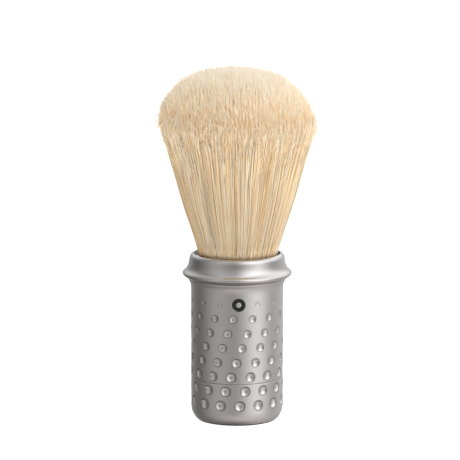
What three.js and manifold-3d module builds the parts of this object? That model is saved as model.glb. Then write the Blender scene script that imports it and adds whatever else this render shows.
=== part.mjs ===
// Shaving brush with a dimpled metal handle, a screw-off base and a screw-in hair knot.
// Millimetres, +Z up. The origin is the centre of the foot's resting face; the long axis is Z
// and the small inlaid badge faces -Y.
// R_ names are radii from the long axis, Z_ names are heights. Outlines list [radius, z] points.
import * as THREE from "three";
import { mergeVertices } from "three/addons/utils/BufferGeometryUtils.js";
import Module from "manifold-3d";

const wasm = await Module();
wasm.setup();

// ---------------------------------------------------------------- shared dimensions
const FACETS = 32; // round every turned piece unless stated
const FIT = 0.06; // clearance between pieces set into one another

// handle shell
const R_WALL = 14.4; // barrel and base cap, outside
const Z_PART_LOW = 13.42; // upper edge of the base cap's wall
const Z_PART_HIGH = 13.56; // lower edge of the barrel's wall: a fine groove between them
const EDGE = 0.12; // broken edge on both sides of that groove

// both screw joints: single-start right-hand threads
const PITCH = 2;
const CREST_WIDTH = 0.5; // axial width of a male crest
const ROOT_WIDTH = 1.2; // axial width of a male ridge at its root
const THREAD_GAP = 0.13; // clearance of the female form, radially and axially

// Male root and crest radii, and the heights of the middle of the male ridge at its ends.
const BASE_THREAD = { root: 10.6, crest: 11.4, zStart: 16.9, zEnd: 20.1 };
const KNOT_THREAD = { root: 11.68, crest: 12.45, zStart: 37.4, zEnd: 41.4 };
const Z_BASE_COUNTERBORE = 16.3; // upper end
const Z_KNOT_COUNTERBORE = 42.9; // lower end

// seals: radius of the centre line, its height, thickness of the section
const BASE_SEAL = { radius: 11.04, z: 15.15, thickness: 1.55 };
const KNOT_SEAL = { radius: 12.76, z: 43.93, thickness: 1.5 };

// ---------------------------------------------------------------- geometry helpers
// Positions only, with coincident vertices joined.
function closed(geometry) {
  const bare = geometry.clone();
  for (const name of Object.keys(bare.attributes)) {
    if (name !== "position") bare.deleteAttribute(name);
  }
  return mergeVertices(bare, 1e-5);
}

// A closed geometry as a solid, turned outward if its faces point in.
function solid(geometry) {
  const { index, attributes } = closed(geometry);
  const corners = index.array;
  const corner = (i) => new THREE.Vector3().fromBufferAttribute(attributes.position, corners[i]);
  let sixVolumes = 0;
  for (let i = 0; i < corners.length; i += 3) {
    sixVolumes += corner(i).dot(corner(i + 1).cross(corner(i + 2)));
  }
  const faces = [];
  for (let i = 0; i < corners.length; i += 3) {
    const [first, second, third] = corners.slice(i, i + 3);
    if (first === second || second === third || first === third) continue;
    faces.push(...(sixVolumes < 0 ? [first, third, second] : [first, second, third]));
  }
  return new wasm.Manifold(
    new wasm.Mesh({
      numProp: 3,
      vertProperties: new Float32Array(attributes.position.array),
      triVerts: new Uint32Array(faces),
    }),
  );
}

// A named mesh from a solid.
function piece(name, manifold, material) {
  const { vertProperties, triVerts } = manifold.getMesh();
  const geometry = new THREE.BufferGeometry();
  const positions = new Float32Array(vertProperties);
  geometry.setAttribute("position", new THREE.BufferAttribute(positions, 3));
  geometry.setIndex(new THREE.BufferAttribute(new Uint32Array(triVerts), 1));
  geometry.computeVertexNormals();
  const mesh = new THREE.Mesh(geometry, material);
  mesh.name = name;
  return mesh;
}

// A turned solid about Z whose outline starts and ends on the axis.
function turned(outline, facets = FACETS) {
  const points = outline.map(([radius, z]) => new THREE.Vector2(radius, z));
  const geometry = new THREE.LatheGeometry(points, facets);
  geometry.rotateX(Math.PI / 2);
  return solid(geometry);
}

// A ring about Z whose outline closes on itself.
const ring = (outline, facets) => turned([...outline, outline[0]], facets);

// A plain cylinder on the Z axis.
const cylinder = (radius, zLow, zHigh, facets) =>
  turned([[0, zLow], [radius, zLow], [radius, zHigh], [0, zHigh]], facets);

// Outline points along an arc, both ends included.
function arc({ centre: [centreR, centreZ], radius, from, to, steps }) {
  return Array.from({ length: steps + 1 }, (_, i) => {
    const angle = THREE.MathUtils.degToRad(from + ((to - from) * i) / steps);
    return [centreR + radius * Math.cos(angle), centreZ + radius * Math.sin(angle)];
  });
}

function seal({ radius, z, thickness }) {
  const geometry = new THREE.TorusGeometry(radius, thickness / 2, 7, FACETS);
  geometry.translate(0, 0, z);
  return solid(geometry);
}

// Radius of the neck a seal sits on.
const sealNeck = ({ radius, thickness }, gap) => radius - thickness / 2 - gap;

// Moves a geometry out along +Y, then turns +Y to point away from the long axis at height z.
// The turn is in degrees from -Y towards +X.
function faceOutward(geometry, { turn, distance, z }) {
  const angle = THREE.MathUtils.degToRad(turn);
  const direction = new THREE.Vector3(Math.sin(angle), -Math.cos(angle), 0);
  const up = new THREE.Vector3(0, 1, 0);
  geometry.translate(0, distance, 0);
  geometry.applyQuaternion(new THREE.Quaternion().setFromUnitVectors(up, direction));
  geometry.translate(0, 0, z);
  return solid(geometry);
}

const cutAll = (body, cutters) => cutters.reduce((rest, cutter) => rest.subtract(cutter), body);

// ---------------------------------------------------------------- threads
// A helical ridge: a long box wound round Z. zFrom and zTo are the heights of its middle
// line at its ends; the line passes +X at height zPhase.
function helix({ rInner, rOuter, innerWidth, outerWidth, zFrom, zTo, zPhase, fade }) {
  // both ends lie on facet edges of the turned pieces
  const firstFacet = Math.round(((zFrom - zPhase) / PITCH) * FACETS);
  const steps = Math.round(((zTo - zPhase) / PITCH) * FACETS) - firstFacet;
  const geometry = closed(new THREE.BoxGeometry(1, 1, 1, 1, 1, steps));
  const position = geometry.attributes.position;
  for (let i = 0; i < position.count; i++) {
    const share = position.getZ(i) + 0.5; // 0 at zFrom, 1 at zTo
    const isOuter = position.getX(i) > 0;
    const side = position.getY(i) > 0 ? 0.5 : -0.5;
    const turns = (firstFacet + share * steps) / FACETS;
    const angle = turns * 2 * Math.PI;
    const turnsFromEnd = (Math.min(share, 1 - share) * steps) / FACETS;
    // a fading ridge starts at a quarter of its height and grows quickly
    const growth = fade ? Math.min(1, 0.25 + turnsFromEnd * 6) : 1;
    const radius = isOuter ? rInner + (rOuter - rInner) * growth : rInner;
    position.setXYZ(
      i,
      radius * Math.cos(angle),
      radius * Math.sin(angle),
      zPhase + turns * PITCH + side * (isOuter ? outerWidth : innerWidth),
    );
  }
  return solid(geometry);
}

// Width of a ridge at some depth inside its root, its flanks carried on inward.
const widthInside = ({ root, crest }, depth) =>
  ROOT_WIDTH + (depth * (ROOT_WIDTH - CREST_WIDTH)) / (crest - root);

function maleThread(thread) {
  const sink = 0.3; // how far the ridge reaches into the body
  return helix({
    rInner: thread.root - sink,
    rOuter: thread.crest,
    innerWidth: widthInside(thread, sink),
    outerWidth: CREST_WIDTH,
    zFrom: thread.zStart,
    zTo: thread.zEnd,
    zPhase: thread.zStart,
    fade: true,
  });
}

// Cutter for the matching female thread.
function femaleThread(thread, zFrom, zTo) {
  const sink = 0.4; // how far the cutter reaches inside the male root
  return helix({
    rInner: thread.root - sink,
    rOuter: thread.crest + THREAD_GAP,
    innerWidth: widthInside(thread, sink) + 2 * THREAD_GAP,
    outerWidth: CREST_WIDTH + 2 * THREAD_GAP,
    zFrom,
    zTo,
    zPhase: thread.zStart,
    fade: false,
  });
}
const FEMALE_OVERRUN = 0.35; // past the male ridge at the blind end
const FEMALE_RUNOUT = 0.9; // into the counterbore at the open end

// ---------------------------------------------------------------- dimples
const DIMPLES_PER_ROW = 15;
const DIMPLE_BALL_R = 2.0; // the hollows are ball-cut

// Rows from the top down: height, diameter, turn of the first dimple.
const DIMPLE_ROWS = [
  [38.51, 1.5, 2.3],
  [33.99, 2.3, -4.8],
  [29.37, 2.5, -11.7],
  [24.87, 2.65, -18.4],
  [20.24, 2.8, -24.9],
  [15.72, 3.05, -31.5],
  [11.23, 3.15, -38.0],
  [6.61, 3.3, -44.5],
];
const ROWS_ON_BARREL = 6; // the rest are on the base cap
const BADGE_ROW = DIMPLE_ROWS[0]; // the badge takes the place of its first dimple

// A spherical cap below the wall and a slightly flared plug above it, about +Y.
function dimpleCutter(diameter) {
  const rimR = diameter / 2;
  const centreY = Math.sqrt(DIMPLE_BALL_R ** 2 - rimR ** 2);
  const outline = [[0, centreY - DIMPLE_BALL_R]];
  // the smallest dimples need no ring of facets between the pole and the rim
  if (diameter > 2.0) {
    const angle = 0.55 * Math.asin(rimR / DIMPLE_BALL_R);
    outline.push([DIMPLE_BALL_R * Math.sin(angle), centreY - DIMPLE_BALL_R * Math.cos(angle)]);
  }
  outline.push([rimR, 0.01], [rimR + 0.05, 0.8], [0, 0.8]);
  // joined before it is turned, so that rounding can't part the seam
  return closed(new THREE.LatheGeometry(outline.map(([x, y]) => new THREE.Vector2(x, y)), 8));
}

function dimplesOf(rows) {
  const cutters = [];
  for (const row of rows) {
    const [z, diameter, firstTurn] = row;
    const shape = dimpleCutter(diameter);
    for (let i = row === BADGE_ROW ? 1 : 0; i < DIMPLES_PER_ROW; i++) {
      const turn = firstTurn + (360 / DIMPLES_PER_ROW) * i;
      cutters.push(faceOutward(shape.clone(), { turn, distance: R_WALL, z }));
    }
  }
  return cutters;
}

// ---------------------------------------------------------------- badge
const BADGE_RADIUS = 2.05;
const BADGE_FACE = 14.3; // distance of the badge's flat face from the long axis
const BADGE_BACK = 13.42;
const BADGE_FACETS = 28;
const DOT_FACETS = 16;
const CLEAR_OF_WALL = 15.5; // cutters end here, outside the wall

// A disc at the badge's place, between two distances from the long axis.
function badgeDisc(radius, from, to, facets) {
  const [z, , turn] = BADGE_ROW;
  const geometry = new THREE.CylinderGeometry(radius, radius, to - from, facets);
  return faceOutward(geometry, { turn, distance: (from + to) / 2, z });
}

const badgeSeat = () =>
  badgeDisc(BADGE_RADIUS + 0.08, BADGE_BACK - FIT, CLEAR_OF_WALL, BADGE_FACETS);

const badge = () =>
  badgeDisc(BADGE_RADIUS, BADGE_BACK, BADGE_FACE, BADGE_FACETS).subtract(
    badgeDisc(0.8 + FIT, BADGE_FACE - 0.32, CLEAR_OF_WALL, DOT_FACETS),
  );

const badgeDot = () => badgeDisc(0.8, BADGE_FACE - 0.26, BADGE_FACE + 0.03, DOT_FACETS);

// ---------------------------------------------------------------- handle barrel
// A tube with a female thread at each end, a counterbore for each seal and a flared neck.
function handleBarrel() {
  const zTop = 44.86;
  const rNeck = 15.42; // where the neck flares out under the collar
  const rMidBore = 10.1;
  const rBaseBore = BASE_THREAD.root + THREAD_GAP;
  const rBaseCounterbore = 11.9;
  const rKnotBore = KNOT_THREAD.root + THREAD_GAP;
  const rKnotCounterbore = 13.6;
  const tube = ring([
    [rBaseCounterbore + 0.2, Z_PART_HIGH],
    [R_WALL - EDGE, Z_PART_HIGH],
    [R_WALL, Z_PART_HIGH + EDGE],
    [R_WALL, 41.6],
    [14.48, 42.3],
    [14.69, 43.2],
    [15.05, 43.95],
    [rNeck, 44.68],
    [rNeck - 0.06, zTop],
    [rKnotCounterbore + 0.15, zTop],
    [rKnotCounterbore, zTop - 0.2],
    [rKnotCounterbore, Z_KNOT_COUNTERBORE],
    [rKnotBore, Z_KNOT_COUNTERBORE],
    [rKnotBore, 34.5],
    [rMidBore, 34.0],
    [rMidBore, 22.1],
    [rBaseBore, 21.5],
    [rBaseBore, Z_BASE_COUNTERBORE],
    [rBaseCounterbore, Z_BASE_COUNTERBORE],
    [rBaseCounterbore, Z_PART_HIGH + 0.2],
  ]);
  return cutAll(tube, [
    femaleThread(
      BASE_THREAD,
      Z_BASE_COUNTERBORE - FEMALE_RUNOUT,
      BASE_THREAD.zEnd + FEMALE_OVERRUN,
    ),
    femaleThread(
      KNOT_THREAD,
      KNOT_THREAD.zStart - FEMALE_OVERRUN,
      Z_KNOT_COUNTERBORE + FEMALE_RUNOUT,
    ),
    ...dimplesOf(DIMPLE_ROWS.slice(0, ROWS_ON_BARREL)),
    badgeSeat(),
  ]);
}

// ---------------------------------------------------------------- base
const R_POCKET = 9.15; // holds the ballast
const Z_POCKET = 3.3;
const R_FOOT = 12.25;
const Z_FOOT_TOP = 1.2;

// A cup with a large heel fillet, a recess for the foot pad below and a threaded spigot above.
function baseCap() {
  const heelRadius = 5.5; // fillet between the base and the wall
  const zRim = 0.45; // underside of the rim
  const rLand = 11.8; // plain length of the spigot
  const rNeck = sealNeck(BASE_SEAL, 0.03);
  const zSpigotTop = 20.9;
  const shell = turned([
    [0, Z_FOOT_TOP + FIT],
    [R_FOOT + FIT, Z_FOOT_TOP + FIT],
    [R_FOOT + FIT, zRim],
    [12.75, zRim],
    ...arc({
      centre: [R_WALL - heelRadius, 4.38],
      radius: heelRadius,
      from: -45.5,
      to: 0,
      steps: 6,
    }),
    [R_WALL, Z_PART_LOW - EDGE],
    [R_WALL - EDGE, Z_PART_LOW],
    [rLand, Z_PART_LOW],
    [rLand, 14.2],
    [rNeck, 14.2],
    [rNeck, 16.05],
    [BASE_THREAD.root, 16.05],
    [BASE_THREAD.root, zSpigotTop - 0.3],
    [BASE_THREAD.root - 0.3, zSpigotTop],
    [R_POCKET, zSpigotTop],
    [R_POCKET, Z_POCKET],
    [0, Z_POCKET],
  ]);
  return cutAll(shell.add(maleThread(BASE_THREAD)), [
    ...dimplesOf(DIMPLE_ROWS.slice(ROWS_ON_BARREL)),
    cylinder(1.62, 1.9, Z_POCKET + 1, 20), // blind tapping hole for the ballast screw
  ]);
}

// A slug with a screw hole, counterbored for the screw's head.
function ballastSlug() {
  const rOuter = R_POCKET - 0.08;
  const zBottom = Z_POCKET + 0.05;
  const zTop = 15.4;
  const zHeadSeat = 11.9;
  return ring([
    [rOuter, zBottom],
    [rOuter, zTop - 0.5],
    [rOuter - 0.5, zTop],
    [3.4, zTop],
    [3.4, zHeadSeat],
    [1.72, zHeadSeat],
    [1.72, zBottom],
  ]);
}

function ballastScrew() {
  const zTop = 14.9;
  const blank = turned(
    [
      [0, 2.0],
      [1.25, 2.0],
      [1.55, 2.4],
      [1.55, 11.95],
      [2.9, 11.95],
      [3.1, 12.15],
      [3.1, 14.6],
      [2.8, zTop],
      [0, zTop],
    ],
    24,
  );
  const socketDepth = 1.5;
  const hexagon = new THREE.CylinderGeometry(1.45, 1.45, 2 * socketDepth, 6);
  hexagon.rotateX(Math.PI / 2);
  hexagon.translate(0, 0, zTop);
  return blank.subtract(solid(hexagon));
}

const footPad = () =>
  turned([
    [0, 0],
    [R_FOOT - 0.12, 0],
    [R_FOOT, 0.12],
    [R_FOOT, Z_FOOT_TOP],
    [0, Z_FOOT_TOP],
  ]);

// ---------------------------------------------------------------- knot cup, collar and potting
const R_CUP_BORE = 10.95; // holds the potted root of the knot
const Z_CUP_FLOOR = 36.1;
const Z_CUP_TOP = 50.6;
const R_COLLAR_BORE = 12.98;
const Z_HAIR_LOW = 37.4;

// The threaded ferrule that holds the potted root of the knot and carries the collar.
function knotCup() {
  const zBottom = 34.9;
  const zShoulder = Z_KNOT_COUNTERBORE + 0.07;
  const rNeck = sealNeck(KNOT_SEAL, 0.05);
  const rSleeve = R_COLLAR_BORE - FIT;
  const body = turned([
    [0, zBottom],
    [KNOT_THREAD.root - 0.5, zBottom],
    [KNOT_THREAD.root, zBottom + 0.5],
    [KNOT_THREAD.root, zShoulder],
    [rNeck, zShoulder],
    [rNeck, 44.76],
    [rSleeve, 44.76],
    [rSleeve, Z_CUP_TOP - 0.15],
    [rSleeve - 0.15, Z_CUP_TOP],
    [12.2, Z_CUP_TOP],
    [R_CUP_BORE, 47.3],
    [R_CUP_BORE, Z_CUP_FLOOR],
    [0, Z_CUP_FLOOR],
  ]);
  return body.add(maleThread(KNOT_THREAD));
}

function collarRing() {
  const zBottom = 44.95;
  const zTop = 52.6;
  const rMouth = 13.4;
  return ring([
    [R_COLLAR_BORE, zBottom],
    [15.45, zBottom],
    [16.42, 45.38],
    [16.98, 45.86],
    [17.12, 46.37], // widest point of the flange
    [16.95, 46.85],
    [16.3, 47.4],
    [15.7, 48.08],
    [15.27, 49.0],
    [14.98, 50.3],
    [14.92, 51.15],
    [14.5, 52.05],
    [13.75, zTop],
    [rMouth, zTop - 0.28],
    [rMouth, Z_CUP_TOP + 0.1],
    [R_COLLAR_BORE, Z_CUP_TOP - 0.3],
  ]);
}

// A shallow dish of resin round the lower end of the hair.
function knotResin() {
  const rOuter = R_CUP_BORE - FIT;
  return turned([
    [0, Z_CUP_FLOOR + FIT],
    [rOuter, Z_CUP_FLOOR + FIT],
    [rOuter, 39.6],
    [10.3, 39.6],
    [10.3, Z_HAIR_LOW - FIT],
    [0, Z_HAIR_LOW - FIT],
  ]);
}

// ---------------------------------------------------------------- hair and its binding
const HAIR_FACETS = 28;
const FLEX_Z = 58; // height of the point about which the loft bends
const FLEX_R = 16.5; // ball that parts the lower loft from the bloom
const FLEX_GAP = 0.3;

const HAIR_OUTLINE = [
  // root, with a waist for the binding cord
  [0, Z_HAIR_LOW], [10.24, Z_HAIR_LOW], [10.24, 40.2], [9.5, 40.55],
  [9.5, 43.1], [10.2, 43.5], [10.5, 47.2], [11.35, 50.4],
  // loft, from the collar's mouth to the tip
  [12.0, 52.6], [12.45, 54.0], [13.3, 56.5], [14.3, 59.8],
  [16.45, 65.95], [18.1, 72.2], [20.0, 78.5], [21.8, 84.8],
  [22.75, 88.0], [23.6, 91.6], [24.1, 95.6], [23.6, 98.8],
  [22.3, 101.4], [19.6, 104.5], [15.3, 107.5], [8.5, 109.6],
  [0, 110],
];

// Three turns of binding cord, side by side, drawn tight round the hair.
function knotTie() {
  const cordRadius = 0.42;
  const zFirst = 41.0;
  const rInner = 9.62;
  const turnHeights = [0, 1, 2].map((i) => zFirst + i * 2 * cordRadius);
  const cords = turnHeights.flatMap((z) =>
    arc({ centre: [10.08, z], radius: cordRadius, from: -72, to: 72, steps: 2 }),
  );
  return ring(
    [...cords, [rInner, turnHeights.at(-1) + 0.36], [rInner, zFirst - 0.36]],
    HAIR_FACETS,
  );
}

// Everything below the flex point, and the ball about it.
function flexRegion(ballRadius) {
  const ball = new THREE.SphereGeometry(ballRadius, HAIR_FACETS, 16);
  ball.rotateX(Math.PI / 2);
  ball.translate(0, 0, FLEX_Z);
  return solid(ball).add(cylinder(30, Z_HAIR_LOW - 1, FLEX_Z, HAIR_FACETS));
}

const wholeHair = () => turned(HAIR_OUTLINE, HAIR_FACETS);
const hairRoot = () => wholeHair().intersect(flexRegion(FLEX_R));
const hairBloom = () => wholeHair().subtract(flexRegion(FLEX_R + FLEX_GAP));

// ---------------------------------------------------------------- materials
const metal = (look) => new THREE.MeshStandardMaterial({ ...look, metalness: 1 });
const nonmetal = (look) => new THREE.MeshStandardMaterial({ ...look, metalness: 0 });

const satin = () => metal({ color: 0xa6a3a2, roughness: 0.42 });
const polished = () => metal({ color: 0xc6c3c2, roughness: 0.2 });
const ferrule = () => metal({ color: 0xb4b2af, roughness: 0.35 });
const brass = () => metal({ color: 0xb08d4a, roughness: 0.35 });
const steel = () => metal({ color: 0x8f9092, roughness: 0.3 });
const brightDot = () => metal({ color: 0xd8d8d8, roughness: 0.25 });
const sealRubber = () => nonmetal({ color: 0x161616, roughness: 0.7 });
const footRubber = () => nonmetal({ color: 0x1c1a19, roughness: 0.85 });
const enamel = () => nonmetal({ color: 0x121214, roughness: 0.12 });
const resin = () => nonmetal({ color: 0xc9a15a, roughness: 0.3 });
const twine = () => nonmetal({ color: 0xe6ddc8, roughness: 0.9 });
const darkHair = () => nonmetal({ color: 0xcaa97c, roughness: 0.75 });
const paleHair = () => nonmetal({ color: 0xe6d8bf, roughness: 0.85 });

// ---------------------------------------------------------------- assembly
const base = new THREE.Group();
base.add(
  piece("base_cap", baseCap(), satin()),
  piece("ballast_slug", ballastSlug(), brass()),
  piece("ballast_screw", ballastScrew(), steel()),
  piece("foot_pad", footPad(), footRubber()),
);

const handle = new THREE.Group();
handle.add(
  piece("handle_barrel", handleBarrel(), satin()),
  piece("badge_disc", badge(), enamel()),
  piece("badge_dot", badgeDot(), brightDot()),
);

const knot = new THREE.Group();
knot.add(
  piece("collar_ring", collarRing(), polished()),
  piece("knot_cup", knotCup(), ferrule()),
  piece("knot_resin", knotResin(), resin()),
  piece("knot_tie", knotTie(), twine()),
  piece("hair_root", hairRoot(), darkHair()),
  piece("hair_bloom", hairBloom(), paleHair()),
);

const brush = new THREE.Group();
brush.add(
  base,
  handle,
  knot,
  piece("base_seal", seal(BASE_SEAL), sealRubber()),
  piece("collar_seal", seal(KNOT_SEAL), sealRubber()),
);

export default brush;
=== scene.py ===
"""Shaving brush: dimpled satin handle, flanged collar, fan knot of cream hair.

It stands on its foot at z = 0 with its axis on Z. The badge faces -Y, turned slightly towards +X,
and angles round the axis run from -Y towards +X. Sizes are in millimetres and make() scales them
to metres. Profiles are lists of (radius, height).
"""

import math
from contextlib import contextmanager

import bmesh
import bpy
import numpy as np
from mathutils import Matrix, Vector


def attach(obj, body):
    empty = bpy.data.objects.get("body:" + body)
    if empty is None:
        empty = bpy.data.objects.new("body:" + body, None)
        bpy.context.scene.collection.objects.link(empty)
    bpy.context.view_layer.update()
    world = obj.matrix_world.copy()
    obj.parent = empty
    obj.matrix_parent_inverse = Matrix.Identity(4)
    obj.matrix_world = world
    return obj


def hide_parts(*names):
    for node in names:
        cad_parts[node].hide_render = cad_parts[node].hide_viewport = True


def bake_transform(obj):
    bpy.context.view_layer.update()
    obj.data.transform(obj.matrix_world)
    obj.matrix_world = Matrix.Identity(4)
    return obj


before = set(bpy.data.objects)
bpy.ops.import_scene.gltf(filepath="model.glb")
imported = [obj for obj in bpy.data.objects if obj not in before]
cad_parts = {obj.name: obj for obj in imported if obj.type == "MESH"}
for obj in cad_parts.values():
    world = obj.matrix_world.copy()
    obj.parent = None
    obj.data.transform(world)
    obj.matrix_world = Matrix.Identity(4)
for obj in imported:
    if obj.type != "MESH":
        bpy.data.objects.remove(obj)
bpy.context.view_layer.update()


MM = 0.001
FULL_TURN = 2 * math.pi
scene = bpy.context.scene
# pale hair needs many soft bounces before its gaps fill with warm light
scene.cycles.max_bounces = 24
scene.cycles.diffuse_bounces = 16

# ------------------------------------------------------------------ handle sizes
WALL_R = 14.4
ROW_Z = [38.51, 33.99, 29.37, 24.87, 20.24, 15.72, 11.23, 6.61]  # dimple rows, top down
ROW_D = [1.5, 2.3, 2.5, 2.65, 2.8, 3.05, 3.15, 3.3]  # diameter of each row's dimples
BARREL_BORDERS = [40.8, 36.25, 31.68, 27.12, 22.56, 17.98, 13.74]  # heights that part the rows
CAP_BORDERS = [13.26, 8.92, 4.38]
BALL_R = 2.0  # the ball that shapes every dimple
RIM = 0.05  # width of the rounding at a dimple's edge
PER_ROW = 15
CELL_COLS = 18  # mesh columns to a dimple
CELL_ROWS = 14  # mesh rows to a dimple
ROW_STEP = 5  # columns each row is turned from the one above
COLS = PER_ROW * CELL_COLS
COLUMN_MM = WALL_R * 2 * math.pi / COLS
BADGE_TURN = math.radians(2.0)
SEAT_D = 4.13  # the badge's recess
SEAT_FLOOR = 13.36  # distance of its flat floor from the axis
HEEL_R = 5.5  # rounding at the bottom of the cap

THREAD_PITCH = 2.0
THREAD_STEP = 0.17  # height between mesh rows on a thread
BASE_CREST_Z = 16.9  # where each thread's crest passes +X
KNOT_CREST_Z = 37.4
BORE_FORM = dict(half_crest=0.38, half_root=0.73, fade=0.5)
SHANK_FORM = dict(half_crest=0.25, half_root=0.6, fade=0.4)


# ------------------------------------------------------------------ mesh helpers
@contextmanager
def mesh_edit(obj):
    bm = bmesh.new()
    bm.from_mesh(obj.data)
    yield bm
    bm.to_mesh(obj.data)
    bm.free()


def face_outward(obj):
    with mesh_edit(obj) as bm:
        bmesh.ops.recalc_face_normals(bm, faces=bm.faces)


def sharp_edges(obj, degrees):
    """Marks the edges sharper than this, so that flat faces stay flat beside round ones."""
    limit = math.radians(degrees)
    with mesh_edit(obj) as bm:
        for edge in bm.edges:
            if len(edge.link_faces) == 2 and edge.calc_face_angle(0) > limit:
                edge.smooth = False


def move_vertices(obj, move):
    """Replaces the (n, 3) vertex positions, in metres, by what move makes of them."""
    places = np.zeros(len(obj.data.vertices) * 3)
    obj.data.vertices.foreach_get("co", places)
    obj.data.vertices.foreach_set("co", move(places.reshape(-1, 3)).ravel())
    obj.data.update()


def register(obj, body=None, slot=None, replaces=()):
    if body:
        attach(obj, body)
    if replaces:
        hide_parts(*replaces)


def make(name, verts, faces, material, **roles):
    """A smooth object from vertices and either a list of index tuples or an (n, k) array."""
    verts = np.asarray(verts, float) * MM
    mesh = bpy.data.meshes.new(name)
    if isinstance(faces, np.ndarray):
        corners = faces.shape[1]
        mesh.vertices.add(len(verts))
        mesh.vertices.foreach_set("co", verts.astype(np.float32).ravel())
        mesh.loops.add(faces.size)
        mesh.loops.foreach_set("vertex_index", faces.astype(np.int32).ravel())
        mesh.polygons.add(len(faces))
        starts = np.arange(0, faces.size, corners, dtype=np.int32)
        mesh.polygons.foreach_set("loop_start", starts)
        mesh.update(calc_edges=True)
    else:
        mesh.from_pydata([tuple(v) for v in verts], [], faces)
    mesh.validate()
    mesh.polygons.foreach_set("use_smooth", np.full(len(mesh.polygons), True))
    obj = bpy.data.objects.new(name, mesh)
    scene.collection.objects.link(obj)
    mesh.materials.append(material)
    register(obj, **roles)
    return obj


def add_attribute(obj, name, values):
    attribute = obj.data.attributes.new(name, "FLOAT", "POINT")
    attribute.data.foreach_set("value", np.asarray(values, np.float32))


def neighbours(ring):
    return list(zip(ring, ring[1:] + ring[:1]))


def join(one, two):
    """Faces between two rings of vertex indices. A ring of one is a point on the axis."""
    if len(one) == 1 and len(two) == 1:
        return []
    if len(one) == 1:
        return [(one[0], b, a) for a, b in neighbours(two)]
    if len(two) == 1:
        return [(a, b, two[0]) for a, b in neighbours(one)]
    return [(a, b, d, c) for (a, b), (c, d) in zip(neighbours(one), neighbours(two))]


def join_all(rings):
    return [face for one, two in zip(rings, rings[1:]) for face in join(one, two)]


def lathe(profile, angle, wave=None, first=0):
    """Vertices of a turned profile, and its rings of vertex indices counted from first.
    wave(radius, z, angle) gives the radii round a ring that isn't plain."""
    verts, rings = [], []
    for radius, z in profile:
        if radius < 1e-9:
            ring = np.array([[0, 0, z]])
        else:
            radii = wave(radius, z, angle) if wave else np.full(len(angle), radius)
            x, y = radii * np.sin(angle), -radii * np.cos(angle)
            ring = np.stack([x, y, np.full(len(angle), z)], 1)
        verts.append(ring)
        rings.append(list(range(first, first + len(ring))))
        first += len(ring)
    return np.concatenate(verts), rings


def turned(name, profile, cols=192, closed=False, wave=None, sharp=None, **kw):
    """A turned piece. An open profile starts and ends on the axis; a closed one joins up."""
    verts, rings = lathe(profile, np.arange(cols) / cols * 2 * math.pi, wave)
    if closed:
        rings.append(rings[0])
    obj = make(name, verts, join_all(rings), **kw)
    face_outward(obj)
    if sharp:
        sharp_edges(obj, sharp)
    return obj


def round_profile(points, radius, steps):
    """Rounds the corners of an open profile by up to radius."""
    points = [np.array(p, float) for p in points]
    rounded = [points[0]]
    for before, corner, after in zip(points, points[1:], points[2:]):
        back, on = before - corner, after - corner
        back_length, on_length = np.linalg.norm(back), np.linalg.norm(on)
        cut = min(radius, 0.45 * back_length, 0.45 * on_length)
        start = corner + back / back_length * cut
        end = corner + on / on_length * cut
        for step in range(steps + 1):
            t = step / steps
            rounded.append((1 - t) ** 2 * start + 2 * t * (1 - t) * corner + t * t * end)
    rounded.append(points[-1])
    return [tuple(p) for p in rounded]


def cut_corners(points):
    """One corner-cutting pass that keeps the ends, to make a turned curve flow."""
    flowing = [points[0]]
    for p, q in zip(points, points[1:]):
        flowing.append((0.75 * p[0] + 0.25 * q[0], 0.75 * p[1] + 0.25 * q[1]))
        flowing.append((0.25 * p[0] + 0.75 * q[0], 0.25 * p[1] + 0.75 * q[1]))
    flowing.append(points[-1])
    return flowing


def heights(start, end, step):
    count = int(round(abs(end - start) / step))
    return [start + (end - start) * i / count for i in range(count + 1)]


def smoothstep(t):
    t = np.clip(t, 0, 1)
    return t * t * (3 - 2 * t)


# ------------------------------------------------------------------ threads
def thread_rise(z, angle, crest_z, depth, half_crest, half_root, fade, low=-math.inf, high=math.inf):
    """Rise of a single-start right-hand thread over its root radius, faded out at low and high."""
    turns = (angle - math.pi / 2) / (2 * math.pi)
    offset = (z - crest_z - turns * THREAD_PITCH) / THREAD_PITCH
    offset = np.abs(offset - np.round(offset)) * THREAD_PITCH
    form = np.clip((half_root - offset) / (half_root - half_crest), 0, 1)
    ends = np.clip((z - low) / fade, 0, 1) * np.clip((high - z) / fade, 0, 1)
    return depth * form * ends


def thread_wave(threads):
    """The wave for lathe() that cuts a thread into the rows at each of these root radii."""

    def wave(radius, z, angle):
        if radius in threads:
            return radius + thread_rise(z, angle, **threads[radius])
        return np.full(len(angle), radius)

    return wave


def thread_rows(root_r, start, end):
    return [(root_r, z) for z in heights(start, end, THREAD_STEP)]


# ------------------------------------------------------------------ shader helpers
def set_inputs(node, inputs):
    """Links or sets a node's inputs, given as {socket: output socket or value}."""
    for socket, value in inputs.items():
        if isinstance(value, bpy.types.NodeSocket):
            node.id_data.links.new(value, node.inputs[socket])
        else:
            node.inputs[socket].default_value = value


def add_node(tree, kind, inputs=None, **settings):
    node = tree.nodes.new("ShaderNode" + kind)
    for name, value in settings.items():
        setattr(node, name, value)
    set_inputs(node, inputs or {})
    return node


def new_material(name):
    material = bpy.data.materials.new(name)
    material.use_nodes = True
    tree = material.node_tree
    tree.nodes.clear()
    out = add_node(tree, "OutputMaterial")
    bsdf = add_node(tree, "BsdfPrincipled")
    set_inputs(out, {"Surface": bsdf.outputs[0]})
    return material, tree, bsdf


def object_coords(tree):
    return add_node(tree, "TexCoord").outputs["Object"]


def lengthwise_coords(tree, squeeze):
    """Object coordinates squeezed along Z, which draws a texture out into fibres."""
    inputs = {"Scale": (1, 1, squeeze), "Vector": object_coords(tree)}
    return add_node(tree, "Mapping", inputs).outputs[0]


def attribute(tree, name):
    return add_node(tree, "Attribute", attribute_name=name).outputs["Fac"]


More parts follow.
